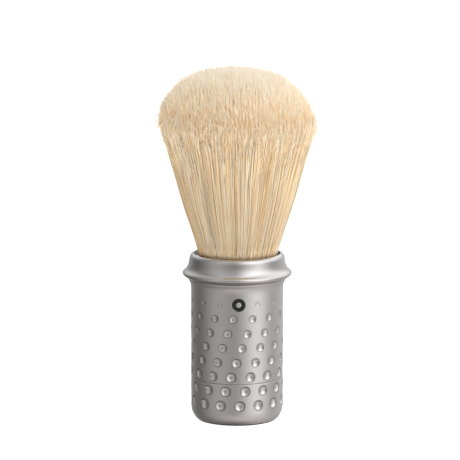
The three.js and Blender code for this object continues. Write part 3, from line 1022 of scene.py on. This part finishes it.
def add_flags(paths, fork, flags, loose, width, tones, angle):
    """Flagged ends: a few finer fibres leave each hair over its last stretch."""
    n = len(paths)
    start = paths[:, fork]
    along = paths[:, -1] - start
    length = np.linalg.norm(along, axis=1)
    unit = along / length[:, None]
    s = np.array([0, 0.3, 0.65, 1.0])[None, :, None]
    taper = np.array([[1.0, 0.9, 0.7, 0.25]])
    for _ in range(flags):
        off = rng.normal(0, 1, (n, 3))
        off -= (off * unit).sum(1)[:, None] * unit
        off *= (0.10 + 0.22 * rng.random(n) ** 2)[:, None] * length[:, None]
        curl = rng.normal(0, 1, (n, 3)) * 0.10 * length[:, None]
        reach = rng.uniform(0.75, 1.12, n)[:, None, None]
        fibre = start[:, None] + along[:, None] * s * reach
        fibre = fibre + off[:, None] * s**1.5 + curl[:, None] * (s**2 - s)
        fibre = keep_in(fibre, loose + 0.25)
        widths = width * rng.uniform(0.5, 0.85, n)[:, None] * taper
        add_hairs(fibre, widths, tones + 0.22 + 0.12 * rng.normal(0, 1, n), angle)


def fuzz(count, z_low, z_high, reach, width, tone):
    """Fine stray fibres that stand off the outside of the knot."""
    angle = rng.uniform(0, 2 * math.pi, count)
    z = rng.uniform(z_low, z_high, count)
    start = fan_points(np.full((count, 1), 0.985), angle[:, None], z[:, None])[:, 0]
    out = np.stack([np.sin(angle), -np.cos(angle), np.zeros(count)], 1)
    side = np.stack([np.cos(angle), np.sin(angle), np.zeros(count)], 1)
    length = reach * rng.uniform(0.4, 1.2, count)
    way = out * (0.26 * rng.random(count))[:, None]
    way = way + side * rng.normal(0, 0.45, count)[:, None]
    way[:, 2] += rng.uniform(0.5, 1.0, count)
    way /= np.linalg.norm(way, axis=1)[:, None]
    s = np.array([0, 0.35, 0.7, 1.0])[None, :, None]
    bend = rng.normal(0, 0.25, (count, 3)) * length[:, None]
    paths = start[:, None] + way[:, None] * (length[:, None, None] * s)
    paths = keep_in(paths + bend[:, None] * (s**2 - s), 0.3)
    widths = width * np.array([[1.0, 0.85, 0.6, 0.2]])
    add_hairs(paths, widths, tone + 0.15 * rng.normal(0, 1, count), angle)


# hair colour by tone, from the painted warm shade between hairs to the palest shaft
TONE_STOPS = [
    (0.0, (0.94, 0.60, 0.26)), (0.35, (0.95, 0.73, 0.44)),
    (0.65, (0.965, 0.835, 0.63)), (1.0, (0.98, 0.905, 0.765)),
]
# painted shade that multiplies it by height, in decimetres: darkest just above the collar's mouth;
# above 1 at the top, a touch of painted light
PAINTED_SHADE_BY_HEIGHT = [
    (0.515, (0.97, 0.94, 0.90)), (0.535, (0.71, 0.67, 0.625)), (0.56, (0.55, 0.505, 0.455)),
    (0.70, (0.625, 0.58, 0.515)), (0.80, (0.70, 0.66, 0.60)), (0.87, (0.80, 0.768, 0.716)),
    (0.905, (0.885, 0.858, 0.812)), (0.935, (0.97, 0.95, 0.915)), (0.965, (1.015, 1.025, 1.045)),
]


def hair_material():
    """Natural hair: cream shafts with a painted warmer shade between them and painted shade by height,
    paler towards the tips.
    """
    material, tree, bsdf = new_material("hair")
    tone = attribute(tree, "tone")
    height = attribute(tree, "height")
    fleck = noise(tree, lengthwise_coords(tree, 0.12), scale=1500)
    flecked = calc(tree, "ADD", tone, spread(tree, fleck, -0.16, 0.16))
    shaft = color_ramp(tree, flecked, TONE_STOPS)
    near_tip = add_node(
        tree, "MapRange", {"From Min": 0.97, "From Max": 1.13, "Value": height}
    ).outputs[0]
    tipped = mix_color(tree, spread(tree, near_tip, 0.0, 0.72), shaft, (0.95, 0.865, 0.735))
    shade = color_ramp(tree, height, PAINTED_SHADE_BY_HEIGHT)
    set_inputs(bsdf, {
        "Base Color": mix_color(tree, 1, tipped, shade, blend="MULTIPLY"),
        "Specular IOR Level": 0.35,
        "Roughness": spread(tree, fleck, 0.52, 0.70),
    })
    return material


def core_material():
    material, tree, bsdf = new_material("hair_core")
    fibre = noise(tree, lengthwise_coords(tree, 0.05), scale=2200, detail=3)
    # the core's warm gold is painted shade: the colour the hair deep in the knot takes between the
    # outer hairs
    color = mix_color(tree, fibre, (0.95, 0.67, 0.37), (0.955, 0.79, 0.53))
    set_inputs(bsdf, {"Base Color": color, "Roughness": 0.75})
    add_bump(tree, bsdf, fibre, strength=0.5, distance=0.0002)
    return material


def hair_core():
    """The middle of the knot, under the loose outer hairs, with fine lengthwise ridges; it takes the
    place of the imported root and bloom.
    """
    profile = [
        (0, 37.4), (9.9, 37.4), (10.15, 37.5), (10.2, 40.2), (9.6, 40.6), (9.5, 41.2),
        (9.5, 42.6), (9.7, 43.2), (9.9, 44.5),
    ]
    for z in heights(46, 86, 2.0):
        inset = 0.65 + 1.6 * smoothstep((z - 56) / 30)
        profile.append((fan_radius(z) * 0.985 - inset, z))
    profile += [
        (20.3, 88.3), (20.9, 90.6), (21.2, 93.0), (20.9, 95.4), (19.9, 98.0), (18.0, 100.6),
        (15.2, 102.9), (11.6, 104.7), (8.0, 105.9), (4.0, 106.6), (0, 106.8),
    ]
    # all six phases are drawn, to keep the later draws in place; the first three are used
    phases = rng.uniform(0, 2 * math.pi, 6)
    ridges = list(zip((0.10, 0.08, 0.06), (97, 61, 143), phases))  # height, count round, phase

    def ridged(radius, z, angle):
        ridge = sum(size * np.sin(count * angle + phase) for size, count, phase in ridges)
        return radius + ridge * smoothstep((z - 44) / 4) * (1 - smoothstep((z - 90) / 8))

    def lean_over(places):
        places[:, 0] += lean(places[:, 2] / MM) * MM
        return places

    obj = turned(
        "hair_heart", profile, cols=420, wave=ridged, material=core_material(), slot="hair"
    )
    move_vertices(obj, lean_over)
    bloom(obj)
    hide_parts("hair_root", "hair_bloom")


def knot_hair():
    mouth = from_height(49.5)  # roots hidden inside the collar
    full = [0, 0.12, 0.25, 0.38, 0.5, 0.62, 0.73, 0.83, 0.92, 0.965, 1]
    middling = [0, 0.2, 0.4, 0.6, 0.78, 0.9, 1]
    brief = [0, 0.35, 0.68, 1]
    # long hairs of the outside, single pale ones over them, and ones behind painted darker as shade
    strands(
        4500, clump=5, between=(0.955, 0.998), root=mouth, short=20.0, power=2.0,
        width=0.27, tone=0.48, stops=full, fork=8, flags=2,
    )
    strands(
        600, clump=1, between=(0.985, 1.0), root=mouth, short=24.0, power=1.2,
        width=0.32, tone=0.82, stops=full, fork=8, flags=1,
    )
    strands(
        2800, clump=2, between=(0.90, 0.96), root=mouth, short=3.0,
        width=0.24, tone=0.20, stops=[0, 0.2, 0.4, 0.6, 0.78, 0.92, 1], fork=5, flags=1,
    )
    # hairs of the upper side
    strands(
        3600, clump=3, between=(0.84, 1.0), root=below_dome(16, 34), short=9.0, power=1.8,
        width=0.27, tone=0.53, stops=middling, fork=4, flags=2, dive=0.06,
    )
    # short hairs that fill the dome: painted darker inside and a little darker at its shoulder, as
    # shade; then all over
    strands(
        2000, clump=1, between=(0.0, 0.86), root=below_dome(10, 17), short=1.6,
        width=0.26, tone=0.30, stops=brief, fork=1, flags=1, dive=0.04,
    )
    strands(
        1400, clump=2, between=(0.84, 0.98), root=below_dome(9, 22), short=0.8,
        width=0.24, tone=0.41, stops=brief, fork=1, flags=1, dive=0.05,
    )
    strands(
        5600, clump=2, between=(0.0, 0.975), root=below_dome(9, 17), short=0.9,
        width=0.25, tone=0.54, stops=brief, fork=1, flags=2, dive=0.07,
    )
    fuzz(1700, z_low=50.9, z_high=53.4, reach=2.6, width=0.10, tone=0.85)
    fuzz(2200, z_low=56, z_high=99, reach=4.5, width=0.09, tone=0.85)


HAIR = hair_material()
hair_core()
knot_hair()
write_hair(HAIR, parts=10)


# ------------------------------------------------------------------ binding cord
def cord():
    """Three turns of two-ply cord round the roots of the knot."""
    turns, coil_r, cord_r = 3, 10.08, 0.40
    low_z, rise = 41.0, 0.84  # lowest turn, and rise from one turn to the next
    ply_twist = 26  # twists of the plies to a turn
    steps, sides = 540, 20
    angle = np.linspace(0, 1, steps) * turns * 2 * math.pi
    z = low_z + rise * (angle / (2 * math.pi) - 0.5)
    z = np.clip(z, low_z, low_z + 2 * rise)
    around = (np.arange(sides) / sides * 2 * math.pi)[None]
    twist = angle[:, None] * ply_twist
    section_r = cord_r * (0.90 + 0.10 * np.abs(np.cos(around + twist)))
    radius = coil_r + section_r * np.cos(around)
    height = z[:, None] + section_r * np.sin(around)
    x, y = radius * np.sin(angle)[:, None], -radius * np.cos(angle)[:, None]
    verts = np.stack([x, y, height], 2).reshape(-1, 3)
    ends = [
        [coil_r * math.sin(angle[i]), -coil_r * math.cos(angle[i]), z[i]] for i in (0, -1)
    ]
    start_centre, end_centre = len(verts), len(verts) + 1
    verts = np.concatenate([verts, ends])
    rings = [list(range(i * sides, (i + 1) * sides)) for i in range(steps)]
    faces = join_all(rings)
    for (a, b), (c, d) in zip(neighbours(rings[0]), neighbours(rings[-1])):
        faces += [(start_centre, b, a), (end_centre, c, d)]
    material = dielectric(
        "binding_cord", dark=(0.70, 0.62, 0.48), light=(0.82, 0.75, 0.62),
        rough=0.8, scale=1800, grain=0.5,
    )
    obj = make(
        "knot_cord", verts, faces, material,
        body="knot", slot="binding_cord", replaces=("knot_tie",),
    )
    face_outward(obj)


cord()


# ------------------------------------------------------------------ studio
def studio_floor():
    bpy.ops.mesh.primitive_plane_add(size=6, location=(0, 0, -0.00002))
    floor = bpy.context.object
    floor.name = "floor"
    material, tree, bsdf = new_material("floor_white")
    patches = noise(tree, object_coords(tree), scale=3)
    set_inputs(bsdf, {
        "Base Color": mix_color(tree, patches, (0.80, 0.80, 0.80), (0.815, 0.815, 0.815)),
        "Roughness": 0.9,
        "Specular IOR Level": 0.1,
        "Emission Color": (1, 1, 1, 1),
        "Emission Strength": 0.68,
    })
    floor.data.materials.append(material)
    floor.visible_glossy = False


# What reflections see, as (azimuth in degrees, brightness). Azimuth 0 is -Y, positive towards +X.
BELT = [  # round the horizon
    (-180, 0.55), (-158, 0.45), (-135, 0.26), (-112, 0.10), (-88, 0.22), (-64, 0.47),
    (-44, 0.54), (-24, 0.40), (-7, 0.27), (10, 0.38), (32, 0.94), (52, 1.32), (68, 0.95),
    (86, 0.44), (104, 0.42), (126, 0.66), (150, 0.70), (180, 0.55),
]
HIGH = [  # higher up
    (-180, 1.7), (-140, 0.7), (-100, 0.18), (-70, 0.52), (-45, 0.76), (-12, 0.42), (8, 0.66),
    (30, 1.85), (58, 2.0), (85, 1.5), (105, 1.5), (130, 1.4), (180, 1.7),
]
OVERHEAD = [
    (-180, 1.4), (-110, 0.6), (-60, 0.7), (0, 0.72), (22, 1.2), (42, 1.6), (66, 1.2),
    (100, 0.9), (180, 1.4),
]
TABLE = [  # the pale table below
    (-180, 0.3), (-140, 0.18), (-110, 0.2), (-90, 0.34), (-64, 0.5), (-43, 0.58), (-11, 0.7),
    (18, 0.84), (40, 0.9), (72, 0.84), (100, 0.72), (139, 0.52), (180, 0.38),
]
BRIGHTEST = 2.0  # ramps hold brightness as a share of this


def reflected_room(tree, x, y, z):
    """The colour that each direction shows to reflections, as a share of BRIGHTEST."""
    bearing = calc(tree, "ARCTAN2", x, calc(tree, "MULTIPLY", y, -1.0))
    azimuth = calc(tree, "ADD", calc(tree, "MULTIPLY", bearing, 1 / (2 * math.pi)), 0.5)
    # 0 straight down, 1 straight up
    slope = calc(tree, "MULTIPLY", calc(tree, "ARCSINE", z), 1 / math.pi)
    elevation = calc(tree, "ADD", slope, 0.5)

    def grey_ramp(value, stops):
        grey_stops = [(position, (grey, grey, grey)) for position, grey in stops]
        return color_ramp(tree, value, grey_stops, "B_SPLINE")

    def band(stops):
        return grey_ramp(azimuth, [((a + 180) / 360, v / BRIGHTEST) for a, v in stops])

    def gate(low, high):
        """0 below the elevation low and 1 above high, in degrees."""
        start, middle, end = [(d + 90) / 180 for d in (low, (low + high) / 2, high)]
        return grey_ramp(elevation, [(0, 0), (start, 0), (middle, 0.5), (end, 1), (1, 1)])

    belt, high, overhead = band(BELT), band(HIGH), band(OVERHEAD)
    sky = mix_color(tree, gate(8, 28), belt, high)
    sky = mix_color(tree, gate(42, 70), sky, overhead)
    warm_table = mix_color(tree, 1, band(TABLE), (1.0, 0.955, 0.935), blend="MULTIPLY")
    under_foot = tuple(v / BRIGHTEST for v in (0.09, 0.085, 0.08))
    ground = mix_color(tree, gate(-84, -58), under_foot, warm_table)
    return mix_color(tree, gate(-34, -15), ground, sky)


def studio_world():
    """A shaped room for reflections, soft light for matt surfaces, white for the camera."""
    world = bpy.data.worlds.new("studio")
    scene.world = world
    world.use_nodes = True
    tree = world.node_tree
    tree.nodes.clear()
    out = add_node(tree, "OutputWorld")
    direction = add_node(tree, "TexCoord").outputs["Generated"]
    x, y, z = add_node(tree, "SeparateXYZ", {0: direction}).outputs

    room = add_node(tree, "Background", {0: reflected_room(tree, x, y, z), 1: BRIGHTEST})
    # tent light for matt surfaces, stronger from +X and from above
    tint = mix_color(tree, calc(tree, "ABSOLUTE", x), (1.0, 0.985, 0.955), (0.99, 0.99, 1.0))
    sideways = calc(tree, "MULTIPLY", x, 0.92)
    upward = calc(tree, "MULTIPLY", z, 0.34)
    strength = calc(tree, "ADD", calc(tree, "ADD", sideways, upward), 1.31)
    soft = add_node(tree, "Background", {0: tint, 1: strength})
    white = add_node(tree, "Background", {0: (1, 1, 1, 1), 1: 1.05})

    ray = add_node(tree, "LightPath").outputs
    lit = add_node(
        tree, "MixShader", {0: ray["Is Diffuse Ray"], 1: room.outputs[0], 2: soft.outputs[0]}
    )
    seen = add_node(
        tree, "MixShader", {0: ray["Is Camera Ray"], 1: lit.outputs[0], 2: white.outputs[0]}
    )
    set_inputs(out, {0: seen.outputs[0]})


def key_light():
    light = bpy.data.lights.new("key", "AREA")
    light.shape = "RECTANGLE"
    light.size, light.size_y = 1.0, 1.0
    light.energy = 1.6
    light.color = (0.98, 0.99, 1.0)
    obj = bpy.data.objects.new("key", light)
    obj.location = (0.65, -0.55, 0.75)
    scene.collection.objects.link(obj)
    target = np.array([0, 0, 0.08])
    aim = Vector(target - np.array(obj.location))
    obj.rotation_euler = aim.to_track_quat("-Z", "Y").to_euler()
    obj.visible_glossy = False


def studio_camera():
    """The camera looks from -Y, slightly down."""
    camera = bpy.data.cameras.new("camera")
    camera.sensor_width = 36
    camera.lens = 281.7
    camera.clip_start, camera.clip_end = 0.05, 20
    obj = bpy.data.objects.new("camera", camera)
    scene.collection.objects.link(obj)
    pitch = math.radians(9.6)
    distance = 1.1203
    target = Vector((-0.00220, 0, 0.05965))
    back = Vector((0, -math.cos(pitch), math.sin(pitch)))
    obj.location = target + back * distance
    obj.rotation_euler = (-back).to_track_quat("-Z", "Y").to_euler()
    scene.camera = obj
    scene.view_settings.view_transform = "Standard"
    scene.view_settings.look = "None"


studio_floor()
studio_world()
key_light()
studio_camera()
